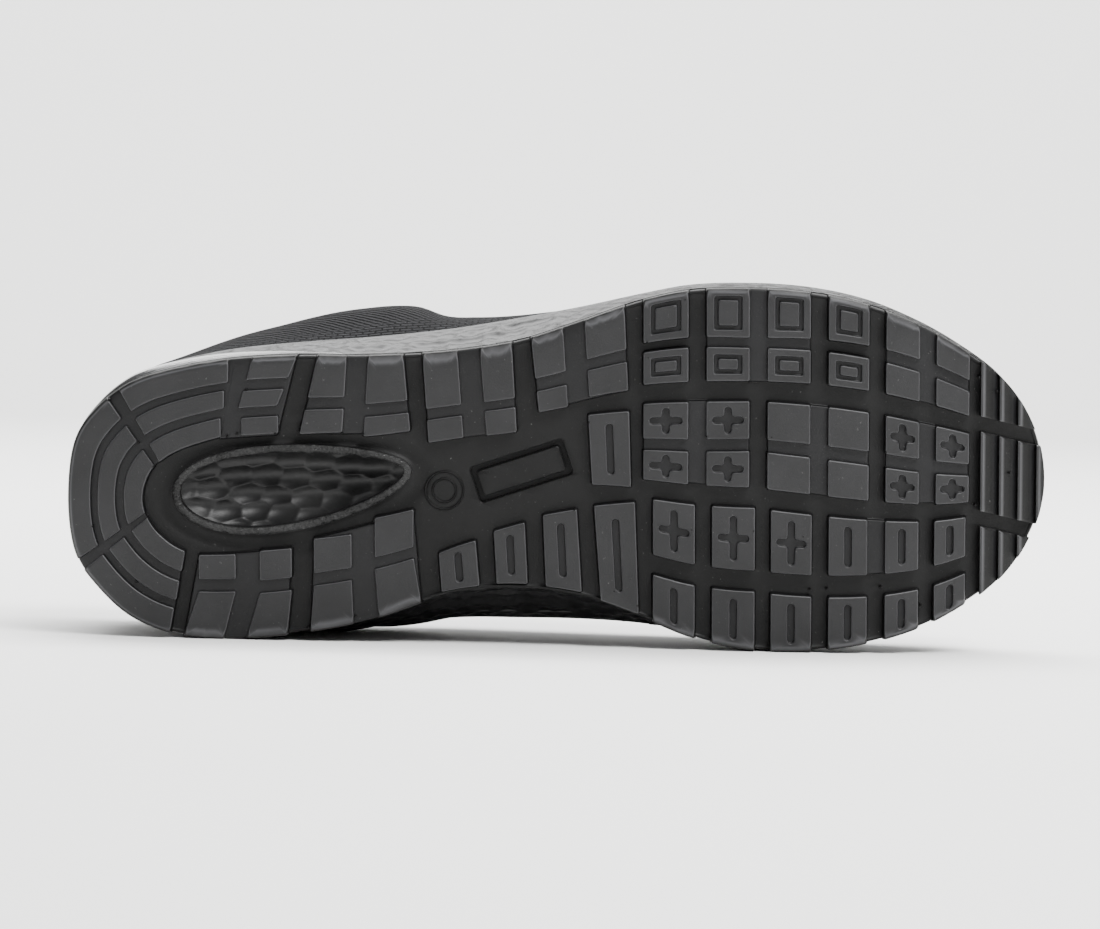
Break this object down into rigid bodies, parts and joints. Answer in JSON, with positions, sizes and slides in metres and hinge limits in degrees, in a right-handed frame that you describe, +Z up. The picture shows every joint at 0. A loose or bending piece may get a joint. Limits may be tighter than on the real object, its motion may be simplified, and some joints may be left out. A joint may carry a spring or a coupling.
{
  "type": "safety_sneaker",
  "caption": "Black safety sneaker for the right foot, lying on its inner side with the lugged rubber sole upright, knitted upper, open collar and heel window",
  "frame": {"origin": "the middle of the lowest plane of the shoe's box, on the floor that it lies on", "axes": "X from the heel to the toe, Y from the tread to the collar, Z up from the inner side to the outer side of the shoe"},
  "size_m": [0.3034, 0.1104, 0.114],
  "materials": {
    "outsole_rubber": "satin",
    "midsole_foam": "satin",
    "upper_knit": "matte",
    "insole_foam": "matte",
    "tongue_knit": "matte",
    "lace_polyester": "matte"
  },
  "bodies": {
    "root": {"outsole": "outsole_rubber", "midsole": "midsole_foam", "upper": "upper_knit", "insole": "insole_foam", "tongue": "tongue_knit", "lace": "lace_polyester"}
  },
  "joints": []
}
